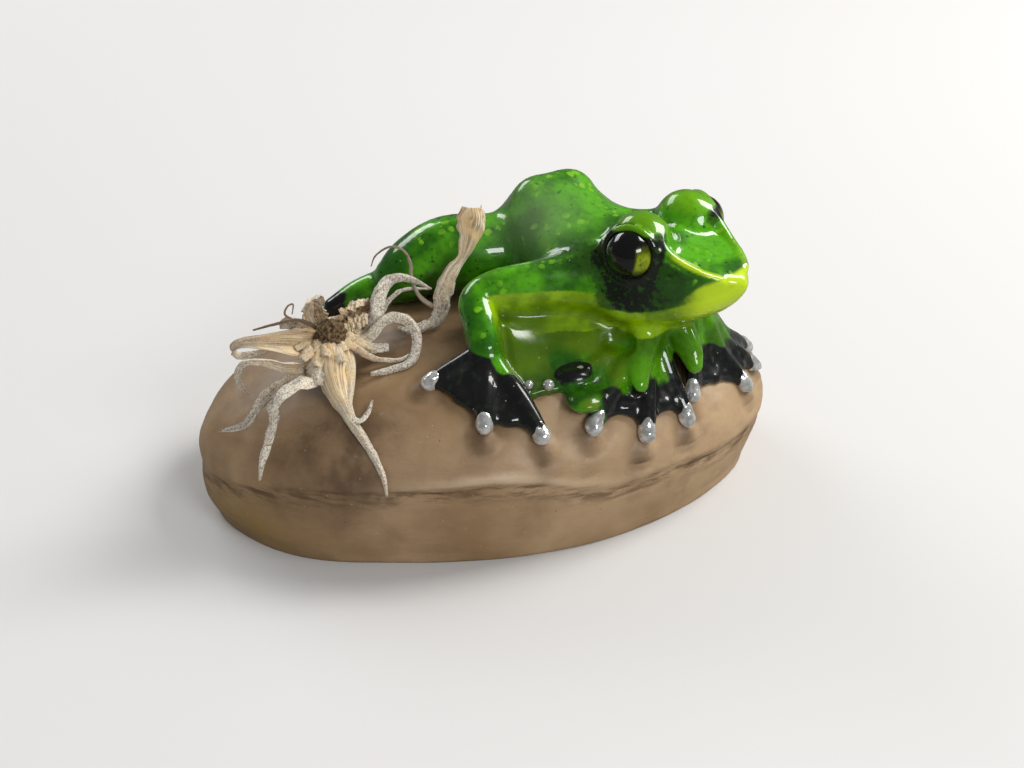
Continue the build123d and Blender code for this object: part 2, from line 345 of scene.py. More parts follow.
def vertex_normals(verts, quads):
    p = verts[quads]
    face = np.cross(p[:, 2] - p[:, 0], p[:, 3] - p[:, 1])
    out = np.zeros_like(verts)
    for i in range(4):
        np.add.at(out, quads[:, i], face)
    return unit(out)


# ------------------------------------------------------------------ frog: places
HEAD = np.array([28.5, -8.3, 0.0])
HEAD_YAW = -57
FWD, RIGHT = (np.array([math.cos(math.radians(a)), math.sin(math.radians(a)), 0]) for a in (HEAD_YAW, HEAD_YAW - 90))
FAR_SIDE = -0.88  # the far side of the head is a little narrower than the near side
FAR_SQUEEZE = 1.13


def head(s, t, z):
    """Row-frame point at s forward and t to the frog's right of the head's middle, at height z."""
    return HEAD + FWD * s + RIGHT * t + np.array([0, 0, z])


def lip(s):
    """Height of the mouth's edge at s forward."""
    return 36.9 + 5.9 * np.clip(s / 17, 0, 1.2) ** 2 + 0.05 * np.clip(s, -9, 0)


def canthus(side):
    """Middle line of the ridge from the brow to the nostril."""
    line = ((3.6, 8.0, 48.6), (6.4, 7.7, 47.0), (9.2, 6.8, 45.7), (12.2, 5.5, 44.5), (14.4, 3.8, 43.7))
    return [head(s, side * t, z) for s, t, z in line]


EYES = {}
for eye_name, side, spread in (("right_eye", 1, 9.3), ("left_eye", -1, -7.6)):
    look = unit(RIGHT * side * 0.93 + FWD * 0.27 + np.array([0, 0, 0.12]))
    EYES[eye_name] = (head(1.0, spread, 46.4), look)

# wrist or ankle, toe tips in plan, distance from the line of the tips within which the paint is black
# and beyond which it is green, toe thickness, how far out the skin reaches between toes, skin thickness
FEET = {
    "right_hand": dict(wrist=(-3.5, -15.6, 32.0), tips=[(-13.1, -17.2), (-6.2, -25.9), (2.6, -28.2)],
                       black=(6.2, 7.6), thick=1.7, web=0.85, skin=0.65),
    "left_hand": dict(wrist=(24.8, -13.0, 33.4), tips=[(9.9, -20.4), (11.4, -27.4), (20.6, -27.2), (28.8, -23.8)],
                      black=(2.6, 5.4), thick=1.6, web=0.66, skin=0.6),
    "left_foot": dict(wrist=(33.6, -9.4, 33.6), black=(3.0, 6.5), thick=1.5, web=0.75, skin=0.55,
                      tips=[(30.8, -20.3), (43.3, -13.6), (47.6, -7.0), (48.6, -0.5), (44.5, 6.5)]),
    "right_foot": dict(wrist=(-16.5, 12.0, 31.2), black=(4.0, 7.0), thick=1.3, web=0.5, skin=0.45,
                       tips=[(-27.0, 12.0), (-28.0, 17.0), (-22.5, 21.5), (-15.0, 24.0), (-7.0, 25.5)]),
}
HEM_BEADS = [(2.2, -21.3, 0.75), (5.4, -21.5, 0.95)]  # silver drops on the belly's hem: x, y, radius
PEBBLE_SKIN = 0.35  # how far under the pebble's surface the frog is cut off
# middle, radii, blend, turn
TRUNK = [
    ((14.7, 8.4, 41.3), (10.1, 9.8, 9.2), 1, 0),
    ((11.2, 8.8, 47.6), (2.7, 3.6, 2.9), 2.5, -75),  # the two hip bones on top of the hump
    ((17.4, 10.0, 47.9), (2.7, 3.6, 2.9), 2.5, -75),
    ((16.2, 8.5, 36), (11.2, 14.5, 8.6), 4, 0),
    ((17.3, 20.5, 36.5), (7.0, 5.5, 6.0), 4, 0),
    ((19.3, 0.5, 40.2), (10.6, 9.5, 6.9), 4, 0),
    ((23.5, -3.8, 41.2), (11.8, 8.0, 5.9), 4, -20),
    ((19.5, -7.0, 37.6), (12.5, 8.5, 5.2), 3, -12),  # throat and chest
    ((8.0, -6.6, 37.2), (11.5, 4.6, 3.6), 2, 0),
]
# blend, then points along the middle as x, y, z, radius
LIMBS = [
    # right arm and left arm
    (1.6, [(17, -7.5, 40.6, 4.2), (8, -8.0, 40.1, 3.3), (0.5, -7.6, 39.3, 3.0), (-3.2, -8.4, 37.6, 3.0),
           (-3.5, -12.0, 35.3, 3.0), (-3.5, -15.4, 32.5, 2.8)]),
    (2.0, [(27, -5.0, 37.5, 4.6), (27.5, -9.5, 35.8, 4.2), (25.2, -13.4, 33.4, 3.4), (22.6, -17.3, 31.0, 3.0),
           (20.8, -20.6, 28.6, 2.3), (20.2, -23.4, 26.8, 1.5)]),
    # thighs
    (1.8, [(14, 13, 38, 6.7), (4.5, 9.2, 37.4, 6.9), (-4.0, 9.6, 37.8, 6.7), (-9.8, 9.4, 36.4, 5.5),
           (-13.2, 9.2, 34.4, 4.3)]),
    (1.8, [(20, 14, 35.6, 6.5), (28.5, 12.0, 33.7, 6.0), (36.0, 8.0, 32.6, 5.4), (40.3, 4.6, 31.4, 4.6),
           (41.8, 2.8, 30.0, 3.7)]),
    # shanks
    (1.2, [(-11.0, 10.2, 33.3, 3.8), (-6.5, 15.5, 31.6, 4.2), (-2.0, 20.2, 29.2, 3.2)]),
    (1.2, [(40.8, 3.8, 30.0, 3.6), (35.0, 10.4, 29.2, 4.1), (29.0, 16.8, 27.6, 3.2)]),
    # ankles and feet
    (1.2, [(-2.6, 19.8, 29.2, 2.7), (-8, 15.5, 31, 3.2), (-13.5, 11.6, 32.0, 3.4), (-19.5, 10.8, 31.2, 2.9),
           (-24.5, 10.8, 29.2, 2.0)]),
    (1.5, [(29.0, 16.2, 27.8, 2.7), (33.5, 5.0, 31.0, 3.2), (34.5, -7.4, 32.0, 3.4)]),
    # the left foot's first toe lies as a broad lobe against the hand
    (1.0, [(30.0, -11.0, 33.8, 2.7), (29.6, -15.0, 31.6, 2.8), (30.6, -18.4, 29.2, 2.1), (30.8, -20.4, 27.4, 1.4)]),
]


def digit_path(wrist, tip, thick):
    """Toe ridge: down from the wrist, then along the pebble to the tip, as (x, y, z, radius)."""
    wrist = np.asarray(wrist, float)
    end = on_pebble(*tip, 0.75)
    out = []
    for share, lift in ((0.0, None), (0.3, None), (0.55, 1.7), (0.78, 1.25), (0.93, 0.95)):
        p = wrist + (end - wrist) * share
        low = ground_at(*p[:2]) + (lift or 0.0)
        p[2] = max(p[2], low) if lift is None else low + 0.35 * max(p[2] - low, 0)
        out.append([*p, thick * (1.25 - 0.42 * share)])
    return np.array(out)


def skirt(p):
    """The belly: one smooth slope from under the arms out to a hem on the pebble."""
    x, y, z = p[..., 0], p[..., 1], p[..., 2]
    plan = (x[:, :, 0], y[:, :, 0])
    hem = np.interp(plan[0], [-3, 1, 5, 9.5, 13, 19, 25], [-17.0, -22.2, -21.5, -21.2, -23.0, -22.5, -16.5])
    inward = np.clip(plan[1] - hem, 0, 14)
    height = np.minimum(pebble_top(*plan) + 0.9 + 6.9 * (inward / 12) ** 1.45, 34.8)
    slope = 0.78 * (z - height[..., None])
    edges = [-3.2 - x, x - 24.0, (hem - plan[1])[..., None] - 0.4 + 0 * z, y + 3.5]
    return np.maximum.reduce([slope] + edges)


# ------------------------------------------------------------------ frog: body
def add_skull(f):
    """The head: a wedge with a sharp lip, flat on top."""
    part, p = f.window((8, -31, 30), (48, 10, 52), 0)
    q = p - HEAD
    s, t, z = q @ FWD, q @ RIGHT, p[..., 2]
    ahead, behind = np.clip(s, 0, None), np.clip(-s, 0, None)
    t = np.where(t < 0, -FAR_SQUEEZE * t, t)
    rise = z - lip(s)
    wall = (t / (12.9 - 0.22 * rise)) ** 1.25 + (ahead / (17.2 - 0.05 * rise)) ** 1.65
    wall = wall + (behind / 10) ** 2 + (np.clip(-rise, 0, None) / 6.0) ** 2.3
    slope = np.stack(np.gradient(wall, f.step), -1)
    wall = np.clip((wall - 1) / np.maximum(length(slope), 0.03), -8, 8)
    crown = 0.94 * (z - (49.3 - 0.345 * ahead - 0.3 * behind - 0.010 * t**2))
    f.d[part] = smooth_min(f.d[part], smooth_max(wall, crown, 1.5).astype(np.float32), 1.6)


def add_foot(f, foot):
    """Ridged toes with skin hung between them."""
    paths = [digit_path(foot["wrist"], tip, foot["thick"]) for tip in foot["tips"]]
    for path in paths:
        f.limb(path, 0.7, count=12)
    top = np.asarray(foot["wrist"], float)
    for one, two in zip(paths[:-1], paths[1:]):
        a1, a2, a3, a4 = one[1:, :3]
        b1, b2, b3, b4 = two[1:, :3]
        dip = (a4 + b4) / 2 * foot["web"] + (a2 + b2) / 2 * (1 - foot["web"])
        dip[2] = ground_at(*dip[:2]) + 0.6
        inner = (a2 + b2) / 2
        inner[2] = max(inner[2] - 0.3, ground_at(*inner[:2]) + 0.9)
        for tri in ((top, a1, b1), (a1, b1, inner), (a1, a2, inner), (b1, b2, inner), (a2, dip, inner),
                    (b2, dip, inner), (a2, a3, dip), (b2, b3, dip), (a3, a4, dip), (b3, b4, dip)):
            f.plate(*tri, foot["skin"], 0.9)


def sculpt_frog(step):
    f = Field((-31, -30.5, 17), (51, 30, 54.5), step)
    for middle, radii, k, turn in TRUNK:
        f.egg(middle, radii, k, turn=turn)
    f.join(skirt, (-4, -24, 22), (25, -3, 36), 2.0)
    add_skull(f)

    # hollows down the middle of the forehead and between the eyes
    f.egg(head(9.0, 0, 48.4), (6.0, 3.2, 1.7), 1.8, turn=HEAD_YAW, tilt=-19, cut=True)
    f.egg(head(-3.5, -1.0, 50.2), (6.5, 3.8, 4.0), 1.6, turn=HEAD_YAW, cut=True)
    for side, eye_name in ((1, "right_eye"), (FAR_SIDE, "left_eye")):
        # brow mound and the ridge running forward to the nostril
        f.egg(head(0.6, side * 6.4, 46.7), (5.6, 4.7, 5.3), 1.6, turn=HEAD_YAW)
        f.limb([(*p, r) for p, r in zip(canthus(side), (1.6, 1.15, 0.85, 0.7, 0.5))], 1.0)
        c, look = EYES[eye_name]
        f.ball(c + look * 0.7, 4.35, 0.5, cut=True)
        f.ring(c + look * 1.35, look, 4.3, 0.62, 0.5)
        f.ring(c + look * 0.6, look, 5.35, 0.5, 0.6, arc=((0, 0, -1), -0.1))
        # the fold that runs back from the brow over the ear
        fold = ((-3.8, 8.6, 45.4, 1.3), (-7.5, 9.6, 44.2, 1.1), (-11, 10.2, 42.6, 0.8))
        f.limb([(*head(s, side * t, z), r) for s, t, z, r in fold], 1.6)

    for k, points in LIMBS:
        f.limb(points, k)
    # the flap below the belly, and the black drop on it
    f.egg((10.9, -24.0, 26.1), (3.2, 3.9, 1.6), 1.6, turn=-20)
    f.egg((10.0, -20.2, 27.9), (3.1, 2.1, 1.6), 0.6, turn=-8)
    for foot in FEET.values():
        add_foot(f, foot)
    # hollows: chest between the arms, left armpit
    f.egg((9.0, -14.6, 35.2), (7.0, 2.6, 1.9), 2.0, turn=-8, cut=True)
    f.egg((18.6, -17.6, 31.6), (2.6, 2.0, 1.6), 1.2, turn=-40, cut=True)
    # keep only what stands above the pebble's skin
    part, p = f.window(f.low, f.low + f.n * step, 0)
    ground = pebble_top(f.axes[0][:, None], f.axes[1][None, :])
    below = (ground[..., None] - PEBBLE_SKIN - p[..., 2]).astype(np.float32)
    f.d[part] = np.maximum(f.d[part], below)
    verts, quads = f.mesh()
    return relax(verts, quads, 2), quads


verts, quads = sculpt_frog(0.32 if FINE else 0.5)

# ------------------------------------------------------------------ frog: where each paint goes
q = verts - HEAD
s, t, z = q @ FWD, q @ RIGHT, verts[:, 2]
x, y = verts[:, 0], verts[:, 1]
ground = pebble_top(x, y)
normal = vertex_normals(verts, quads)
outward = np.sign(t) * (normal @ RIGHT)
wobble = 0.7 * noise_a(verts, 2.2) + 0.35 * noise_b(verts, 0.9)
on_head = smoothstep(-10, -6, s) * (z > 33)
jaw = smoothstep(0.4, -0.4, z - lip(s) - 0.25 * wobble - 2.7 * smoothstep(8.0, 13.0, s))
lime = on_head * jaw
chest = smoothstep(-1.9, -0.6, x + 0.15 * (z - 33)) * smoothstep(27.5, 25.5, x) * (y < -7) * (z < 39.5)
chest *= smoothstep(22.5, 18.5, x - 0.5 * (z - 33) + wobble)
lime = np.maximum(lime, chest)
# painted highlight: lime laid on the upward-facing top of the ridge from brow to nostril, weaker on the far side; it
# joins the snout's bright lime and the lime mask
ridge = np.zeros(len(verts))
for side in (1, FAR_SIDE):
    near = gap_to(verts, spline(canthus(side), 30))
    ridge_highlight = smoothstep(1.25, 0.75, near + 0.15 * wobble) * smoothstep(0.2, 0.5, normal[:, 2])
    ridge = np.maximum(ridge, ridge_highlight * (1 if side > 0 else 0.35))
snout_and_ridge_highlight = np.maximum(smoothstep(9.0, 14.0, s) * on_head, ridge)
lime = np.maximum(lime, 0.75 * ridge)
# painted light: the left arm's green lifted towards lime, against the shadow the head casts on it
arm = smoothstep(18, 21, x) * smoothstep(1.5, 3.5, z - ground) * (y < -6) * (z < 39.5)
lime = np.maximum(lime, 0.4 * arm)

# the dark patch on the side of the face: between the mouth and the brow line, round the eye
eye_gap = gap_to(verts, [c for c, _ in EYES.values()])
brow_line = np.interp(s, [-10, -6, -2.5, 0.5, 4, 6.4, 9.2, 12.2, 14.4],
                      [43.0, 45.0, 48.4, 49.9, 48.3, 46.6, 45.2, 44.0, 43.2])
rear = np.interp(z, [37, 40, 43, 46], [0.0, -1.5, -4.0, -6.5])
face = smoothstep(0.0, 0.6, z - lip(s) - 0.25 * wobble) * smoothstep(-3.0, 1.5, s - rear + wobble) * (z > 33)
face = face * smoothstep(0.4, -0.4, z - brow_line + 0.25 * wobble)
face = face * smoothstep(-0.05, 0.15, outward + 0.3 * (np.abs(t) > 7.5))
patch = face * (1 - 0.55 * smoothstep(3.0, 10.0, s + 1.5 * wobble) - 0.4 * smoothstep(9.0, 13.0, s + wobble))
patch = np.maximum(patch, smoothstep(6.3, 5.6, eye_gap + 0.3 * wobble) * smoothstep(50.4, 49.6, z))
shoulder = length((verts - (16.5, -8.6, 43.2)) / (7.0, 4.2, 2.8))
patch = np.maximum(patch, 0.62 * smoothstep(1.4, 0.3, shoulder + 0.2 * wobble))

black = np.zeros(len(verts))
for name, foot in FEET.items():
    tips = np.asarray(foot["tips"], float)
    tips = tips[1:] if name == "left_hand" else tips
    gap = gap_to(verts[:, :2], spline(tips, 40))
    full, none = foot["black"]
    black = np.maximum(black, smoothstep(none, full, gap + 0.6 * wobble) * smoothstep(5.2, 4.2, z - ground))
black *= 1 - smoothstep(-1.2, 0.4, x + 0.42 * (y + 16) + 0.2 * wobble) * (x < 8) * (y > -26.5)
drop = length((verts[:, :2] - (10.0, -20.2)) / (3.2, 2.1))
web_green = smoothstep(6.0, 7.2, x + 0.3 * wobble) * smoothstep(17.0, 14.0, x)
web_green *= np.maximum(smoothstep(3.4, 2.2, z - ground), (y < -20.5) * smoothstep(5.0, 4.0, z - ground))
black *= 1 - 0.8 * smoothstep(14.5, 12.5, x + 0.4 * wobble) * smoothstep(6.0, 7.0, x) * (y < -15)
black = np.maximum(black, smoothstep(1.1, 0.85, drop + 0.08 * wobble) * smoothstep(5.4, 4.6, z - ground))
lime *= 1 - web_green
# painted shade: darker green in a band within about 2 mm of the pebble at the front, where the belly meets the
# stone; on the web under the flap it is the web's own dark green
hem = np.maximum(smoothstep(2.2, 0.7, z - ground) * (y < 0), 0.8 * web_green * (y < -18))
spots = smoothstep(41.5, 44.5, z) + smoothstep(3, 0, x) * smoothstep(33.5, 36, z)
spots = np.clip(spots, 0, 1) * (1 - patch) * (1 - lime)
# painted reflection: a whitish sheen painted on the top of the back; the coat is also rougher there
painted_sheen = bell(length((verts - (8.0, 1.0, 47.5)) / (9.0, 8.0, 6.0)), 0, 1)
# in the attributes below, the lime darker below about 36 mm is painted shade on the lower chest and belly
frog = build_mesh("frog_skin", verts, quads, attributes={
    "lime": np.clip(lime * (1 - patch), 0, 1), "patch": np.clip(patch, 0, 1), "black": np.clip(black, 0, 1),
    "snout_and_ridge_highlight": snout_and_ridge_highlight, "spots": spots, "hem": hem, "brow": smoothstep(48.8, 51.0, z) * on_head,
    "painted_sheen": painted_sheen, "haze": np.maximum(painted_sheen, 0.45 * chest),
    "lime_shade": smoothstep(37.8, 34.8, z + 0.4 * wobble) * (1 - on_head * jaw)})
stand_in(frog, "frog_body")

# ------------------------------------------------------------------ silver toe tips
silver = []
for foot_name, foot in FEET.items():
    tips = np.array(foot["tips"])
    low, high = tips.min(0), tips.max(0)
    f = Field((*(low - 4), 17), (*(high + (5, 4)), 33), 0.24 if FINE else 0.35)
    for tip in tips:
        path = digit_path(foot["wrist"], tip, foot["thick"])
        end = on_pebble(*tip, 0.95)
        back = path[3, :3] * 0.85 + end * 0.15 + np.array([0, 0, 0.3])
        middle = back * 0.45 + end * 0.55 + np.array([0, 0, 0.3])
        f.limb([(*back, 0.75), (*middle, 1.2), (*end, 1.5)], 0.3, count=10)
    if foot_name == "right_hand":
        for bx, by, r in HEM_BEADS:
            f.ball(on_pebble(bx, by, 1.5), r, 0.3)
    v, faces = f.mesh()
    v = relax(v, faces, 1)
    v = v + vertex_normals(v, faces) * (noise_a(v, 1.3)[:, None] * 0.16)
    part = build_mesh(foot_name + "_silver_tips", v, faces)
    silver.append(stand_in(part, foot_name + "_toe_pads"))

# ------------------------------------------------------------------ eyes
EYE_RADIUS, EYE_PUSH = 4.05, 0.75  # the ball, and how far its middle is moved out along the look
eyes = []
rings, around = 48, 72
for eye_name, (c, look) in EYES.items():
    side = unit(FWD - look * (FWD @ look))
    lift = np.cross(look, side)
    lift = lift * (1 if lift[2] > 0 else -1)
    vs = [c + look * 4.75]
    for i in range(1, rings + 1):
        a = math.pi * 0.62 * i / rings
        for j in range(around):
            b = 2 * math.pi * j / around
            out = look * math.cos(a) + (side * math.cos(b) + lift * math.sin(b)) * math.sin(a)
            vs.append(c + look * EYE_PUSH + out * EYE_RADIUS)
    vs = np.array(vs)
    fs = [[0, 1 + j, 1 + (j + 1) % around] for j in range(around)] + grid_faces(rings, around, 1, flip=True)
    d = unit(vs - c - look * EYE_PUSH)
    front, height = d @ side, d @ lift
    pupil = np.hypot((front + 0.30) / 0.84, (height - 0.04) / 1.02)
    iris = smoothstep(0.86, 1.1, pupil) * smoothstep(0.25, 0.5, front)
    iris = iris * smoothstep(0.95, 0.1, np.abs(height + 0.08))
    rim = smoothstep(0.93, 0.985, np.hypot(front, height))
    eye = build_mesh(eye_name + "_ball", vs, fs, attributes={"iris": iris * (1 - rim)})
    eyes.append(stand_in(eye, eye_name))

# ------------------------------------------------------------------ pebble
around = 420 if FINE else 200
near_top = HEIGHT - 0.8 * (1 - np.linspace(0, 1, 26)[1:-1]) ** 2
levels = np.concatenate([np.linspace(0, 1.0, 5), np.linspace(1.6, 30.2, 120 if FINE else 62), near_top])
angle = np.linspace(0, 2 * math.pi, around, endpoint=False)
# height of the crease all the way round, by the angle about Z in degrees
CREASE = [(-180, 9.4), (-169, 8.6), (-147, 12.2), (-132, 14.4), (-117, 15.6), (-108, 16.1), (-97, 16.2),
          (-88, 15.0), (-80, 12.6), (-73, 11.4), (-64, 11.5), (-50, 10.9), (-33, 10.3), (0, 10.4), (45, 13.5),
          (90, 16.0), (140, 13.5), (180, 9.4)]
crease_z = np.interp((np.degrees(angle) + 180) % 360 - 180, *zip(*CREASE))
rows_v = []
for level in levels:
    a = np.maximum(half_axis(LENGTH / 2, END_CREASE, level), 0.02)
    b = np.maximum(half_axis(WIDTH / 2, SIDE_CREASE, level), 0.02)
    rows_v.append(np.stack([drawn_out(a * np.cos(angle)), b * np.sin(angle), np.full(around, level)], 1))
flat = np.array(rows_v).reshape(-1, 3)
x, y, z = flat.T
normal = unit(np.stack([x / 50.5**2, y / 31**2, np.clip(z - 13, -3, 18) / 18**2 * 1.2], 1))
line = np.tile(crease_z, len(levels)) + 0.4 * noise_c(flat * (1, 1, 0), 8)
# bright also places the painted highlight along the edge above the crease
bright = bell(x, -4, 16) * (y < 0)  # where the edge stands proudest
ridge = bell(z - line, 0.9, 1.0) * (0.5 + 0.35 * noise_b(flat, 9) + 0.6 * bright)
groove = bell(z - line, -0.9, 1.1)
push = 0.42 * noise_a(flat, 17) + 0.2 * noise_b(flat, 7) + 0.05 * noise_c(flat, 2.0) - 0.15
push = push + 0.34 * ridge - 0.26 * groove
flat = flat + normal * (push * smoothstep(0.0, 2.0, z))[:, None]
# the foot swells at the left end and wanders a little all round
x, y, z = flat.T
swell = 0.05 * smoothstep(11.0, 3.0, z) * smoothstep(-18.0, -42.0, x) * smoothstep(12.0, -8.0, y)
flat[:, :2] *= 1 + swell[:, None]
wander = 0.55 * noise_b(flat * (1, 1, 0), 11) * smoothstep(7.0, 0.0, flat[:, 2])
flat = flat + unit(flat * (1, 1, 0)) * wander[:, None]
# a raised dab under each toe tip with a shallow dent round it
TOE_REACH = 0.9  # from the tip's middle out to the dab's
toes = []
for foot in FEET.values():
    for tip in np.array(foot["tips"]):
        toes.append(tip + unit(tip - np.array(foot["wrist"][:2])) * TOE_REACH)
for spot in toes:
    far = length(flat - on_pebble(*spot))
    flat = flat + normal * (0.75 * bell(far, 0, 1.7))[:, None]
    flat = flat - normal * (0.22 * bell(far, 3.0, 0.8))[:, None]
faces = grid_faces(len(levels), around)
last = (len(levels) - 1) * around
faces += [[len(flat), (j + 1) % around, j] for j in range(around)]
faces += [[len(flat) + 1, last + j, last + (j + 1) % around] for j in range(around)]
z = flat[:, 2]
# darker brown patches low at the front left and by the plant's crown, painted shadow on the stone between the plant
# and the frog, and painted shadow beside each toe tip
dark_and_shadow = np.zeros(len(flat))
for spot, reach in (((-31, -23, 22), 12.5), ((-29, -8, 30), 8.0), ((-12, -4, 31), 8.0)):
    darkening = 1.5 * bell(length((flat - spot) / (1.0, 0.8, 0.9)), 0, reach)
    dark_and_shadow = np.maximum(dark_and_shadow, np.clip(darkening, 0, 1))
for spot in toes:
    dark_and_shadow = np.maximum(dark_and_shadow, bell(length(flat[:, :2] - (spot + (-0.8, -0.3))), 0, 1.9) * (z > 15))
# paint masks: painted highlight along the crease edge, dark patches with painted shadows, streaks along the crease,
# ochre tint low at the left end
paint = {"edge_highlight": bell(z - line, 1.0, 0.8) * bright, "dark_and_shadow": dark_and_shadow,
         "crease": bell(z - line, -0.5, np.where(z > line - 0.5, 1.0, 2.4)),
         "ochre": bell(length((flat - (-44, -16, 5)) / (8, 8, 4)), 0, 1)}
verts = np.vstack([flat, [[0, 0, 0.0]], [[0, 0, HEIGHT]]])
verts[:, 2] = np.maximum(verts[:, 2], 0)
pebble = build_mesh("pebble_stone", verts, faces, attributes={k: np.append(v, [0, 0]) for k, v in paint.items()})
stand_in(pebble, "pebble_base")


# ------------------------------------------------------------------ dried plant
def blade(points, widths, side, cup=0.35, twist=0.0, ragged=0.0, wrinkle=0.08, thick=0.28, seed=0, rows=90, cols=9):
    """Dried blade as a closed shell: vertices, faces, and how far along and across each vertex is."""
    v = np.linspace(-1, 1, cols)[None, :]
    along = np.linspace(0, 1, rows)[:, None]

    def texture(noise, u, w, scale):
        return noise(np.stack(np.broadcast_arrays(u * along + 100.0 * seed, w, 0.0), -1), scale)

    c = spline(points, rows)
    w = np.clip(spline([[v] for v in widths], rows)[:, 0], 0.15, None)[:, None]
    tangent = unit(np.gradient(c, axis=0))
    sides, sd = [], np.asarray(side, float)
    for tv in tangent:
        sd = unit(sd - tv * (sd @ tv))
        sides.append(sd)
    sides = np.array(sides)
    ups = np.cross(tangent, sides)
    turn = np.radians(twist) * np.linspace(0, 1, rows)
    sides, ups = (sides * np.cos(turn)[:, None] + ups * np.sin(turn)[:, None],
                  ups * np.cos(turn)[:, None] - sides * np.sin(turn)[:, None])
    sides, ups = sides[:, None], ups[:, None]
    bend = cup * w * (0.5 - v**2) * 0.9
    mid = c[:, None] + sides * (v * w / 2)[..., None] + ups * bend[..., None]
    ripple = wrinkle * w * texture(noise_a, 9, v * 2.2, 0.5)
    edge = np.abs(v) ** 3
    tear = ragged * w * texture(noise_b, 30, np.sign(v) * 3, 0.9) * edge
    mid = mid + ups * (ripple * 1.6)[..., None] + sides * (tear * np.sign(v))[..., None]
    half = thick / 2 * (1 - 0.55 * edge) * np.minimum(1, w / 0.7)
    grain = 0.03 * texture(noise_c, 60, v * 9, 1.0)
    upper, lower = mid + ups * (half + grain)[..., None], mid - ups * half[..., None]
    pts = np.concatenate([upper, lower[:, ::-1]], 1).reshape(-1, 3)
    n = 2 * cols
    faces = grid_faces(rows, n) + [list(range(n))[::-1], [(rows - 1) * n + j for j in range(n)]]
    return pts, faces, np.repeat(along[:, 0], n), np.tile(np.concatenate([v[0], v[0, ::-1]]), rows)


def leaf_piece(name, blades, node, wool):
    """One piece from several blades; wool is how white and fuzzy its blades are along their length."""
    verts, faces, attrs = [], [], {"along": [], "across": [], "wool": [], "own": []}
    base = 0
    for i, spec in enumerate(blades):
        p, fc, along, across = blade(**spec)
        p[:, 2] = np.maximum(p[:, 2], pebble_top(p[:, 0], p[:, 1]) + 0.12)
        verts.append(p)
        faces += [[k + base for k in corners] for corners in fc]
        base += len(p)
        attrs["along"] += list(along)
        attrs["across"] += list(across)
        attrs["wool"] += list(np.interp(along, np.linspace(0, 1, len(wool)), wool))
        attrs["own"] += [i * 0.37 + len(name) * 0.11] * len(p)
    return stand_in(build_mesh(name, np.vstack(verts), faces, attributes=attrs), node)


leaves = []


def add_leaf(node, points, widths, side, wool, extra=(), **form):
    blades = [dict(points=points, widths=widths, side=side, **form), *extra]
    leaves.append(leaf_piece(node.replace("leaf_", "blade_") + "_dried", blades, node, wool))


add_leaf("leaf_left_loop_upper", [(-28.5, -6.5, 32.4), (-31, -7.5, 33.0), (-34.3, -8.5, 34.2), (-38, -9.5, 35.2),
          (-41.3, -9, 35.2), (-43, -7.5, 33.7), (-42.6, -6.5, 31.9), (-40.4, -6.6, 31.8), (-37, -7.6, 32.8)],
         [2.6, 4.6, 4.2, 2.6, 1.7, 1.3, 1.3, 1.2, 0.6], (0, 0.2, 1), (0.05, 0.15, 0.4, 0.8, 0.9), cup=0.6, twist=30,
         wrinkle=0.1, seed=1, rows=120)
add_leaf("leaf_left_loop_lower", [(-29.5, -8.8, 30.8), (-32, -10, 30.4), (-35, -11.2, 31.2), (-38.5, -12, 33),
          (-41.7, -11.5, 33), (-43, -9.8, 30.2), (-42.6, -8.2, 27), (-41.5, -6.0, 24.0)],
         [2.2, 2.4, 2.0, 1.5, 1.2, 1.1, 1.0, 0.5], (0, 0, 1), (0.2, 0.4, 0.9, 0.9), cup=0.5, twist=-60, seed=2,
         rows=110)
add_leaf("leaf_left_low", [(-30, -9.6, 30.6), (-33.4, -11, 29.0), (-36.8, -12, 27.8), (-39.7, -12, 25.6),
          (-42, -12.2, 22.4), (-44.2, -9.6, 19.8), (-46.8, -6.2, 17.6)],
         [1.8, 2.0, 2.2, 2.0, 1.5, 1.1, 0.4], (0, 1, 1), (0.4, 0.8, 1, 1), cup=0.6, twist=50, wrinkle=0.12, seed=3)
add_leaf("leaf_front_left", [(-28.5, -10.2, 31.0), (-31, -12.2, 29.0), (-33.9, -14, 29.4), (-36.8, -15.4, 28.6),
          (-38.4, -15.6, 26.6), (-38.2, -15.4, 24.4), (-39.4, -16.4, 21.6), (-41, -18.4, 18.4),
          (-41.6, -18.6, 15.2)],
         [2.0, 2.6, 3.0, 2.8, 2.2, 1.9, 1.6, 1.0, 0.4], (1, 0, 0.6), (0.5, 0.9, 1, 1), cup=0.6, twist=70,
         wrinkle=0.12, seed=4, rows=110)
add_leaf("leaf_front_long", [(-28, -7.6, 32.8), (-27.8, -10.5, 31.4), (-27.8, -14, 28.4), (-26.8, -17.8, 25.6),
          (-25.3, -21.4, 22.9), (-23.8, -24.8, 20.8), (-22.9, -27.6, 18.6), (-22.6, -28.4, 15.6)],
         [4.0, 5.6, 4.6, 2.3, 1.5, 1.2, 0.9, 0.4], (1, 0, 0), (0.0, 0.05, 0.45, 0.8, 0.6), cup=0.6, twist=15,
         wrinkle=0.07, ragged=0.04, seed=5,
         extra=[dict(points=[(-29.4, -8.6, 32.2), (-30.4, -11.6, 30.6), (-30.6, -14.0, 28.6)],
                     widths=[3.4, 3.4, 1.6], side=(1, 0.2, 0), cup=0.5, wrinkle=0.1, ragged=0.08, seed=25)])
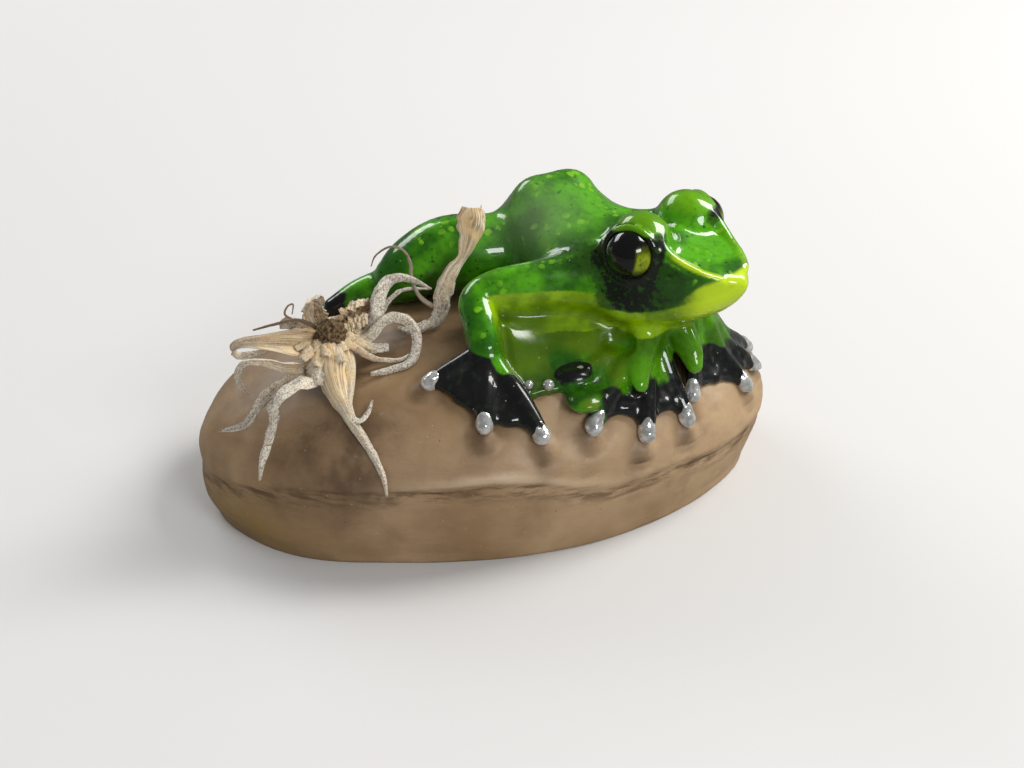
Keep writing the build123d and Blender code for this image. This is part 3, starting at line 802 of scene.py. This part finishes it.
add_leaf("leaf_front_right", [(-26.4, -7.6, 32.2), (-25.4, -10, 31.0), (-25.4, -13, 28.6), (-26.1, -16, 26.8),
          (-26.4, -18.4, 25.2), (-25.2, -19.6, 24.6), (-23.6, -18.8, 25.4), (-22.6, -17.8, 27.0)],
         [3.0, 3.4, 2.2, 1.6, 1.4, 1.2, 0.9, 0.4], (1, 0, 0), (0.05, 0.3, 0.9, 1), cup=0.5, twist=-50, wrinkle=0.1,
         seed=6, rows=110)
add_leaf("leaf_right_low", [(-25.4, -7.2, 31.8), (-23.6, -8.8, 31.4), (-22, -10, 30.6), (-19.6, -10.6, 29.8),
          (-16.6, -10.6, 29.6), (-14.4, -10, 30.4)],
         [2.2, 1.7, 1.4, 1.2, 1.0, 0.5], (0, 0, 1), (0.2, 0.5, 0.8), cup=0.4, twist=40, seed=7)
add_leaf("leaf_right_loop", [(-25, -6.2, 32), (-22.4, -6.6, 32.0), (-20.6, -6.8, 33.2), (-19.2, -6.5, 34.6),
          (-16.9, -6.5, 35.6), (-14.7, -7.5, 35.2), (-13.5, -9, 33), (-14, -10.6, 30.8), (-15.6, -12, 29.4),
          (-18.3, -12.2, 28.9), (-22, -12.6, 28.8)],
         [2.6, 2.3, 2.1, 2.0, 2.0, 1.9, 1.8, 1.7, 1.6, 1.4, 0.7], (0, 1, 0), (0.3, 0.9, 1, 1), cup=0.6, twist=60,
         seed=8, rows=130)
add_leaf("leaf_right_stub", [(-24.6, -6.6, 31.6), (-22.2, -7.6, 31.2), (-20.4, -8, 31.0), (-18.2, -8, 30.8)],
         [2.2, 2.0, 1.9, 1.7], (0, 1, 0), (0.5, 0.9, 1), cup=0.6, seed=9)
add_leaf("leaf_right_arch", [(-24, -4.6, 31.6), (-21.6, -4.8, 31.8), (-20, -4.2, 34.0), (-19.3, -3.2, 36.4),
          (-18.2, -2, 38.4), (-16.4, -1, 39.6), (-14, -1, 39.7), (-11.8, -1.5, 38.8), (-9.6, -2, 37.4)],
         [2.0, 2.2, 2.5, 2.7, 2.5, 1.9, 1.4, 0.9, 0.3], (0, 1, 0.3), (0.6, 1, 1, 1), cup=0.7, twist=60,
         wrinkle=0.12, seed=10, rows=120)
add_leaf("leaf_right_inner", [(-23.5, -3.4, 31.6), (-21, -3.2, 31.8), (-19.2, -2.6, 33.0), (-17.2, -1, 35),
          (-14.9, 0, 36.4), (-12.4, 0, 36.8), (-9.6, -0.5, 36.6)],
         [1.6, 1.6, 1.5, 1.4, 1.1, 0.8, 0.3], (0, 1, 0), (0.6, 1, 1), cup=0.5, twist=-45, seed=11)
add_leaf("leaf_back_right", [(-26.8, -4.6, 31.9), (-25.2, -2.9, 33.2), (-22.9, -1.8, 34.8), (-20.3, -2.6, 36.4)],
         [4.0, 5.6, 6.2, 4.4], (0.6, 0.8, 0), (0, 0.1, 0.3), cup=0.3, wrinkle=0.1, ragged=0.22, seed=12,
         extra=[dict(points=[(-26.0, -4.0, 32.2), (-23.5, -4.2, 34.0), (-20.8, -5.2, 35.2)], widths=[3.6, 4.4, 2.8],
                     side=(0.4, 0.9, 0.1), cup=0.3, wrinkle=0.1, ragged=0.22, seed=26)])
add_leaf("leaf_hood", [(-28.6, -3.2, 32.4), (-29.4, -2.4, 34.8), (-29.4, -2.4, 37.2), (-28.0, -3.4, 38.8)],
         [3.2, 4.2, 3.4, 1.4], (1, 0, 0), (0.05, 0.2, 0.7), cup=0.6, wrinkle=0.1, ragged=0.1, seed=13)
add_leaf("leaf_back_left", [(-29.5, -4.0, 31.9), (-31.3, -2.5, 32.4), (-33, -0.2, 33.2), (-35, 0.9, 32.2)],
         [2.8, 3.0, 2.5, 1.0], (0, 0, 1), (0.2, 0.6, 0.9), cup=0.5, wrinkle=0.1, seed=14)
add_leaf("dry_stalk", [(-29.2, -4.6, 34.0), (-31, -4.4, 35.2), (-33, -4, 35.6), (-36.4, -3.5, 34.9),
          (-39.5, -2.5, 33.8)],
         [0.8, 0.7, 0.55, 0.45, 0.3], (0, 0, 1), (0, 0.2, 0.3), cup=0.2, thick=0.4, seed=15,
         extra=[dict(points=[(-33.0, -4.0, 35.6), (-34.2, -3.5, 36.6), (-33.6, -3.2, 37.8), (-32.7, -3.0, 37.9),
                             (-33.0, -3.1, 36.2)],
                     widths=[0.4, 0.35, 0.3, 0.3, 0.2], side=(1, 0, 0), thick=0.25, cup=0.1, seed=27)])
add_leaf("curled_tendril", [(-8.6, -2.6, 34.4), (-9.6, -2.0, 34.2), (-11.4, -1, 35.6), (-12.5, 0, 38.4),
          (-12.6, 0.5, 41.5), (-13.6, 1, 43.6), (-15.8, 1.5, 44.2), (-18, 2.5, 42.4), (-18.8, 3, 40.3)],
         [1.0, 1.0, 0.9, 0.75, 0.6, 0.45, 0.4, 0.35, 0.2], (0, 1, 0), (1, 0.9, 0.4, 0.1), cup=0.1, thick=0.45,
         seed=16, rows=120)
add_leaf("loose_leaf", [(-1.6, -1.2, 51.0), (-1.9, -1.4, 48.8), (-2.4, -1.6, 46.2), (-4.0, -2.0, 42.6),
          (-6.1, -2.8, 40.2), (-7.5, -3.2, 37), (-8.0, -3.4, 34.6), (-9.0, -3.8, 32.4), (-11.6, -4.2, 31.5),
          (-14.2, -4.6, 31.4), (-16.0, -4.2, 32.0)],
         [3.8, 5.2, 4.4, 1.9, 2.6, 3.3, 3.0, 2.4, 1.8, 1.5, 0.7], (1, 0.4, 0), (0.0, 0.05, 0.3, 0.8, 1, 1), cup=0.5,
         twist=25, wrinkle=0.08, ragged=0.08, seed=17, rows=150)

# crown: papery leaf bases packed round the heart
CROWN = np.array([-28.0, -5.2, 30.6])
BASES, FLORETS = 30, 60
bases = []
for i in range(BASES):
    turn = i * GOLDEN_ANGLE
    lean = 0.25 + 0.75 * i / BASES
    d = np.array([math.cos(turn), math.sin(turn), 0])
    reach = 2.6 + 2.9 * lean + 0.8 * rng.random()
    foot = CROWN + d * (1.0 + 1.2 * lean) + np.array([0, 0, -0.8])
    mid = CROWN + d * reach * 0.75 + np.array([0, 0, 2.9 - 1.9 * lean + 0.5 * rng.random()])
    end = CROWN + d * reach * 1.35 + np.array([0, 0, 3.0 - 2.6 * lean + 0.8 * rng.random()])
    bases.append(dict(points=[foot, mid, end], widths=[1.6, 2.6 + rng.random(), 0.9 + 0.8 * rng.random()],
                      side=np.cross(d, (0, 0, 1)), cup=-0.35, ragged=0.12, seed=40 + i, rows=30))
leaves.append(leaf_piece("crown_leaf_bases", bases, "plant_crown", (0.05, 0.15, 0.3)))

# heart: a rough dark knob of packed dead florets
f = Field(CROWN + (-5, -5, -1), CROWN + (5, 5, 8), 0.22 if FINE else 0.32)
heart_c = CROWN + np.array([0.7, -1.7, 3.1])
f.egg(heart_c, (2.3, 2.2, 2.1), 0.5)
for i in range(FLORETS):
    h = 1 - 1.45 * (i + 0.5) / FLORETS
    turn = i * GOLDEN_ANGLE
    d = np.array([math.cos(turn) * math.sqrt(1 - h * h), math.sin(turn) * math.sqrt(1 - h * h), h])
    r = 0.38 + 0.2 * rng.random()
    f.ball(heart_c + d * (2.2 + 0.25 * rng.random()), r, 0.25)
    if i % 3 == 0:
        f.ball(heart_c + d * 2.75, 0.3, 0.2, cut=True)
heart = stand_in(build_mesh("heart_knob", *f.mesh()), "plant_heart")


# ------------------------------------------------------------------ materials
def srgb(r, g, b):
    out = []
    for c in (r, g, b):
        c /= 255
        out.append(c / 12.92 if c <= 0.04045 else ((c + 0.055) / 1.055) ** 2.4)
    return (*out, 1.0)


class Paint:
    """Short-hand for building one procedural material; positions are in millimetres."""

    def __init__(self, name):
        self.mat = bpy.data.materials.new(name)
        self.mat.use_nodes = True
        self.nodes, self.links = self.mat.node_tree.nodes, self.mat.node_tree.links
        self.shader = self.nodes["Principled BSDF"]
        self.place = self.scaled(self.node("TexCoord", {}, "Object"), 1 / MM)

    def put(self, socket, value):
        if isinstance(value, bpy.types.NodeSocket):
            self.links.new(value, socket)
        else:
            socket.default_value = value

    def node(self, kind, inputs, out=0, **settings):
        """Adds one node, sets it and fills its inputs; gives back one of its outputs."""
        n = self.nodes.new("ShaderNode" + kind)
        for key, value in settings.items():
            setattr(n, key, value)
        for key, value in inputs.items():
            self.put(n.inputs[key], value)
        return n.outputs[out]

    def shift(self, by):
        """The position moved along: by a fixed amount, so that two patterns differ, or by a warp."""
        return self.node("VectorMath", {0: self.place, 1: by}, operation="ADD")

    def stretch(self, by):
        return self.node("VectorMath", {0: self.place, 1: by}, operation="MULTIPLY")

    def scaled(self, vector, by):
        return self.node("VectorMath", {0: vector, "Scale": by}, operation="SCALE")

    def mul(self, a, b):
        return self.node("Math", {0: a, 1: b}, operation="MULTIPLY")

    def add(self, a, b):
        return self.node("Math", {0: a, 1: b}, operation="ADD")

    def about_zero(self, value, width):
        """A value between 0 and 1, scaled to this width and centred on zero."""
        return self.node("Math", {0: value, 1: width, 2: -width / 2}, operation="MULTIPLY_ADD")

    def attr(self, name, strength=1.0):
        value = self.node("Attribute", {}, "Fac", attribute_name=name)
        return value if strength == 1.0 else self.mul(value, strength)

    def noise(self, scale, detail=3.0, rough=0.55, where=None):
        inputs = {"Vector": where or self.place, "Scale": scale, "Detail": detail, "Roughness": rough}
        return self.node("TexNoise", inputs, "Fac")

    def flecks(self, scale, edge, pick, where=None):
        """Round spots: edge is where each one ends and is full, pick how many of the cells have one."""
        distance = self.node("TexVoronoi", {"Vector": where or self.place, "Scale": scale}, "Distance")
        chance = self.node("SeparateColor", {0: distance.node.outputs["Color"]})
        return self.mul(self.ramp(distance, *edge), self.ramp(chance, *pick))

    def ramp(self, value, low, high, a=0.0, b=1.0):
        inputs = {"Value": value, "From Min": low, "From Max": high, "To Min": a, "To Max": b}
        return self.node("MapRange", inputs, "Result", interpolation_type="SMOOTHSTEP")

    def mix(self, share, a, b):
        return self.node("Mix", {"Factor": share, 6: a, 7: b}, 2, data_type="RGBA")

    def bump(self, height, strength, distance):
        inputs = {"Height": height, "Strength": strength, "Distance": distance}
        self.put(self.shader.inputs["Normal"], self.node("Bump", inputs))

    def set(self, **values):
        names = {"colour": "Base Color", "rough": "Roughness", "metal": "Metallic", "coat": "Coat Weight",
                 "coat_rough": "Coat Roughness", "spec": "Specular IOR Level", "sheen": "Sheen Weight"}
        for key, value in values.items():
            self.put(self.shader.inputs[names[key]], value)
        return self.mat


def frog_lacquer():
    m = Paint("frog_lacquer")
    broad, fine = m.noise(0.11, 3), m.noise(0.9, 5, 0.65)
    green = m.mix(m.ramp(broad, 0.38, 0.62), srgb(36, 98, 0), srgb(84, 166, 2))
    green = m.mix(m.ramp(fine, 0.45, 0.75, 0, 0.55), green, srgb(20, 62, 8))
    # drops of lighter paint with dark specks round them, their outlines pulled about by a warp
    tug = m.node("TexNoise", {"Vector": m.place, "Scale": 0.5}, "Color")
    warp = m.shift(m.scaled(tug, 1.6))
    dot = m.flecks(0.6, (0.42, 0.30), (0.42, 0.5), warp)
    dot = m.mul(dot, m.mul(m.attr("spots"), m.ramp(m.noise(0.13, 2), 0.44, 0.56)))
    speck = m.mul(m.flecks(0.85, (0.30, 0.16), (0.60, 0.68), warp), m.attr("spots"))
    green = m.mix(m.mul(speck, 0.75), green, srgb(14, 42, 10))
    green = m.mix(m.mul(dot, 0.8), green, srgb(126, 190, 28))
    # painted reflection: the whitish sheen on the back, mixed into the green
    green = m.mix(m.attr("painted_sheen", 0.6), green, srgb(120, 146, 100))
    lime = m.mix(m.ramp(m.noise(0.16, 3), 0.35, 0.65), srgb(92, 124, 0), srgb(140, 180, 2))
    # painted shade: the lime darker lower down on the chest and belly
    lime = m.mix(m.attr("lime_shade", 0.75), lime, srgb(62, 96, 0))
    lime = m.mix(m.ramp(fine, 0.5, 0.8, 0, 0.35), lime, srgb(60, 92, 0))
    # bright lime on the snout, with the painted highlight along the brow-to-nostril ridge
    lime = m.mix(m.attr("snout_and_ridge_highlight", 0.85), lime, srgb(196, 224, 30))
    green = m.mix(m.attr("brow", 0.6), green, srgb(112, 168, 10))
    colour = m.mix(m.attr("lime"), green, lime)
    # painted shade along the hem where the belly meets the pebble, and the web's own dark green
    hem = m.mul(m.attr("hem"), m.ramp(m.noise(0.5, 4), 0.35, 0.6, 0.2, 0.9))
    colour = m.mix(hem, colour, srgb(26, 66, 8))
    mottle = m.noise(1.0, 5, 0.7)
    patch = m.mix(m.ramp(mottle, 0.45, 0.75), srgb(13, 15, 11), srgb(22, 42, 8))
    veil = m.ramp(m.add(m.attr("patch"), m.about_zero(mottle, 0.7)), 0.05, 0.4, 0, 0.75)
    colour = m.mix(veil, colour, srgb(24, 58, 4))
    edge = m.ramp(m.add(m.attr("patch"), m.about_zero(mottle, 2.4)), 0.5, 0.95)
    colour = m.mix(edge, colour, patch)
    black = m.mix(m.ramp(m.noise(0.9, 4), 0.5, 0.8), srgb(20, 20, 21), srgb(34, 44, 26))
    edge = m.ramp(m.add(m.attr("black"), m.about_zero(fine, 0.5)), 0.25, 0.75)
    colour = m.mix(edge, colour, black)
    dust = m.flecks(0.55, (0.075, 0.04), (0.55, 0.6), m.shift((31.0, 7.0, 3.0)))
    colour = m.mix(m.mul(dust, 0.6), colour, srgb(190, 205, 160))
    rough = m.ramp(m.noise(0.6, 4), 0.3, 0.7, 0.24, 0.36)
    m.bump(m.add(m.noise(0.35, 2), m.mul(dot, 0.10)), 0.35, 0.0004)
    m.shader.inputs["Coat IOR"].default_value = 1.5
    haze = m.ramp(m.attr("haze"), 0.1, 0.8, 0.02, 0.3)
    return m.set(colour=colour, rough=rough, coat=1.0, coat_rough=haze, spec=0.15)


def toe_silver():
    m = Paint("toe_silver")
    tone = m.ramp(m.noise(0.9, 4), 0.3, 0.7)
    colour = m.mix(tone, srgb(188, 189, 186), srgb(246, 246, 244))
    # dark spots on the silver, where it is also much less metallic
    dark_spots = m.ramp(m.noise(1.3, 5, 0.7), 0.66, 0.72)
    colour = m.mix(dark_spots, colour, srgb(40, 42, 38))
    m.bump(m.noise(0.9, 3), 0.5, 0.0003)
    return m.set(colour=colour, rough=m.ramp(m.noise(1.5, 3), 0.3, 0.7, 0.08, 0.2), coat=0.6, coat_rough=0.05,
                 metal=m.add(0.62, m.mul(dark_spots, -0.5)))


def eye_gloss():
    m = Paint("eye_gloss")
    fibre = m.noise(1.1, 4, 0.6)
    colour = m.mix(m.ramp(fibre, 0.4, 0.75), srgb(136, 152, 8), srgb(66, 80, 4))
    streak = m.add(m.attr("iris"), m.about_zero(fibre, 0.4))
    colour = m.mix(m.ramp(streak, 0.5, 1.0), srgb(58, 68, 6), colour)
    colour = m.mix(m.ramp(streak, 0.15, 0.5), srgb(12, 12, 12), colour)
    return m.set(colour=colour, rough=m.ramp(fibre, 0.3, 0.7, 0.12, 0.2), coat=1.0, coat_rough=0.01, spec=0.2)


def stone():
    m = Paint("pebble")
    big, mid, fine = m.noise(0.035, 4), m.noise(0.16, 5, 0.6), m.noise(2.4, 5, 0.7)
    colour = m.mix(m.ramp(big, 0.35, 0.65), srgb(144, 115, 80), srgb(176, 147, 112))
    colour = m.mix(m.ramp(mid, 0.45, 0.8, 0, 0.5), colour, srgb(120, 94, 64))
    run = m.noise(1.6, 5, 0.7, where=m.stretch((0.09, 0.09, 0.55)))
    streak = m.mul(m.attr("crease"), m.ramp(run, 0.42, 0.62))
    colour = m.mix(m.mul(streak, 0.85), colour, srgb(84, 58, 32))
    colour = m.mix(m.mul(m.attr("crease"), m.ramp(run, 0.36, 0.26, 0, 0.5)), colour, srgb(178, 152, 122))
    # painted highlight along the edge above the crease
    colour = m.mix(m.attr("edge_highlight", 0.7), colour, srgb(206, 184, 154))
    colour = m.mix(m.attr("ochre", 0.8), colour, srgb(140, 112, 60))
    # dark brown: the darker patches, with the painted shadows between plant and frog and beside the toe tips
    colour = m.mix(m.mul(m.attr("dark_and_shadow"), m.ramp(mid, 0.3, 0.65, 0.4, 0.8)), colour, srgb(80, 56, 34))
    dust = m.flecks(0.8, (0.10, 0.05), (0.62, 0.66))
    colour = m.mix(m.mul(dust, 0.55), colour, srgb(206, 190, 168))
    pit = m.flecks(0.5, (0.09, 0.05), (0.7, 0.74), m.shift((9.0, 4.0, 2.0)))
    colour = m.mix(m.mul(pit, 0.6), colour, srgb(60, 44, 30))
    colour = m.mix(m.ramp(fine, 0.5, 0.8, 0, 0.22), colour, srgb(116, 92, 66))
    brush = m.noise(0.8, 3, 0.5, where=m.stretch((0.35, 0.35, 1.0)))
    m.bump(m.add(brush, m.mul(fine, 0.25)), 0.45, 0.00035)
    return m.set(colour=colour, rough=m.ramp(mid, 0.3, 0.7, 0.42, 0.58), coat=0.15, coat_rough=0.35, spec=0.45)


def dried(name, dark, mid_tone, pale, woolly):
    m = Paint(name)
    wool = m.attr("wool")
    lying = m.node("CombineXYZ", {0: m.attr("along", 2.2), 1: m.attr("across", 7.0), 2: m.attr("own", 19.0)})
    vein = m.noise(1.6, 4, 0.65, where=lying)
    blotch = m.noise(0.35, 4, 0.6)
    colour = m.mix(m.ramp(vein, 0.34, 0.66), dark, pale)
    colour = m.mix(m.ramp(blotch, 0.42, 0.68), colour, mid_tone)
    fuzz = m.noise(3.2, 5, 0.8)
    grey = m.mix(m.ramp(fuzz, 0.40, 0.56), srgb(140, 120, 92), woolly)
    colour = m.mix(m.mul(wool, 0.8), colour, grey)
    m.bump(m.add(vein, m.mul(m.mul(fuzz, wool), 1.6)), 0.9, 0.00022)
    m.shader.inputs["Subsurface Weight"].default_value = 0.08
    m.shader.inputs["Subsurface Scale"].default_value = 0.0006
    return m.set(colour=colour, rough=m.ramp(fuzz, 0.3, 0.7, 0.78, 0.95), sheen=0.25, spec=0.25)


def heart_material():
    m = Paint("plant_heart")
    grain = m.noise(2.0, 5, 0.75)
    colour = m.mix(m.ramp(grain, 0.38, 0.62), srgb(52, 40, 28), srgb(132, 108, 78))
    m.bump(grain, 1.0, 0.0004)
    return m.set(colour=colour, rough=m.ramp(grain, 0.3, 0.7, 0.8, 0.95), spec=0.2)


def wear(obj, mat):
    obj.data.materials.clear()
    obj.data.materials.append(mat)


wear(frog, frog_lacquer())
tips_mat, eye_mat = toe_silver(), eye_gloss()
for obj in silver:
    wear(obj, tips_mat)
for obj in eyes:
    wear(obj, eye_mat)
wear(pebble, stone())
leaf_mat = dried("dried_leaf", srgb(142, 106, 64), srgb(222, 190, 138), srgb(246, 232, 198), srgb(255, 250, 238))
stem_mat = dried("dried_stem", srgb(96, 80, 60), srgb(128, 108, 84), srgb(160, 142, 116), srgb(170, 158, 140))
for obj in leaves:
    wear(obj, stem_mat if obj.name.startswith(("dry_stalk", "curled")) else leaf_mat)
wear(heart, heart_material())
for obj in [frog, pebble, heart] + silver + eyes + leaves:
    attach(obj, "root")

# ------------------------------------------------------------------ floor, light and camera
FLOOR_DROP = 0.0001  # just under the pebble's flat foot, so the two never flicker
bpy.ops.mesh.primitive_plane_add(size=6.0, location=(0, 0, -FLOOR_DROP))
floor = bpy.context.object
floor.name = "floor"
# the paper is dimmer in reflections, so that the lacquer keeps its depth of colour
paper = Paint("paper_floor")
seen_in_gloss = paper.node("LightPath", {}, "Is Glossy Ray")
tone = paper.mix(seen_in_gloss, (0.65, 0.64, 0.627, 1), (0.16, 0.16, 0.15, 1))
wear(floor, paper.set(colour=tone, rough=0.9, spec=0.2))

SKY, SKY_IN_GLOSS = 0.44, 0.09  # strength of the sky, and what reflections show of it
world = bpy.data.worlds.new("studio")
bpy.context.scene.world = world
world.use_nodes = True
nodes, links = world.node_tree.nodes, world.node_tree.links
nodes["Background"].inputs["Color"].default_value = (0.97, 0.98, 1.0, 1)
path, dim = nodes.new("ShaderNodeLightPath"), nodes.new("ShaderNodeMapRange")
dim.inputs["To Min"].default_value, dim.inputs["To Max"].default_value = SKY, SKY_IN_GLOSS
links.new(path.outputs["Is Glossy Ray"], dim.inputs["Value"])
links.new(dim.outputs["Result"], nodes["Background"].inputs["Strength"])
bpy.context.scene.view_settings.view_transform = "Standard"


def area(name, at, aim, size, power, colour=(1, 1, 1)):
    light = bpy.data.lights.new(name, "AREA")
    light.shape, light.size, light.size_y, light.energy, light.color = "RECTANGLE", *size, power, colour
    obj = bpy.data.objects.new(name, light)
    bpy.context.collection.objects.link(obj)
    obj.location = at
    obj.rotation_euler = (Vector(aim) - Vector(at)).to_track_quat("-Z", "Y").to_euler()


area("window", (0.62, 0.10, 0.62), (0.0, 0, 0.03), (0.34, 0.5), 6.9, (1.0, 0.985, 0.96))
area("front_panel", (0.25, -0.62, 0.42), (0.01, 0, 0.03), (0.3, 0.16), 1.9, (0.98, 0.99, 1.0))
area("back_panel", (-0.30, 0.60, 0.45), (0.0, 0, 0.04), (0.5, 0.25), 2.0, (0.98, 0.99, 1.0))

AZIMUTH, ELEVATION, FIELD_OF_VIEW = (math.radians(a) for a in (-14, 31, 39.5))
DISTANCE, SENSOR = 0.250, 36  # metres from the target, millimetres across
lens_data = bpy.data.cameras.new("photo_view")
cam = bpy.data.objects.new("photo_view", lens_data)
bpy.context.collection.objects.link(cam)
level = math.cos(ELEVATION)
back = np.array([math.sin(AZIMUTH) * level, -math.cos(AZIMUTH) * level, math.sin(ELEVATION)])
target = np.array([0.004, -0.003, 0.0175])
cam.location = target + back * DISTANCE
cam.rotation_euler = Vector(-back).to_track_quat("-Z", "Y").to_euler()
lens_data.sensor_width = SENSOR
lens_data.lens = SENSOR / 2 / math.tan(FIELD_OF_VIEW / 2)
lens_data.clip_start = 0.01
bpy.context.scene.camera = cam
